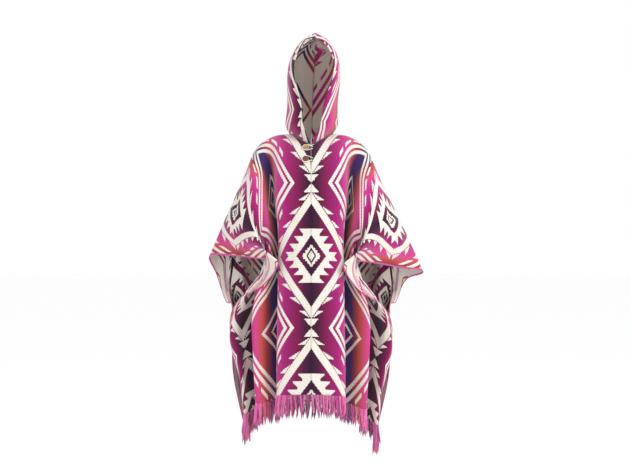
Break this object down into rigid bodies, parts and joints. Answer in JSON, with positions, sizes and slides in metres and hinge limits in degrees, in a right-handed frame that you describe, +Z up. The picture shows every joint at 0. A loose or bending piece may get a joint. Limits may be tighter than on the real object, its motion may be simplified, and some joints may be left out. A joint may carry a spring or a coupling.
{
  "type": "hooded andean poncho",
  "caption": "Hooded blanket-cloth poncho hanging as worn, with wide open sleeves, a buttoned neck slit and fringed hems.",
  "frame": {"origin": "middle of the shoulder line at the neck, where the wearer's shoulders carry the poncho", "axes": "+Z up along the wearer, front of the garment towards -Y, wearer's left towards +X"},
  "size_m": [0.7244, 0.3515, 1.4309],
  "materials": {
    "poncho_cloth": "brushed wool-like weave with fine warp ribs",
    "fringe_yarn": "soft twisted yarn",
    "button_wood": "smooth, low sheen",
    "loop_cord": "matt cord"
  },
  "bodies": {
    "root": {"panel_right": "poncho_cloth", "panel_left": "poncho_cloth", "hood_right": "poncho_cloth", "hood_left": "poncho_cloth", "fringe_front_right": "fringe_yarn", "fringe_front_left": "fringe_yarn", "fringe_back_right": "fringe_yarn", "fringe_back_left": "fringe_yarn", "button_top": "button_wood", "loop_top": "loop_cord", "button_lower": "button_wood", "loop_lower": "loop_cord"}
  },
  "joints": []
}
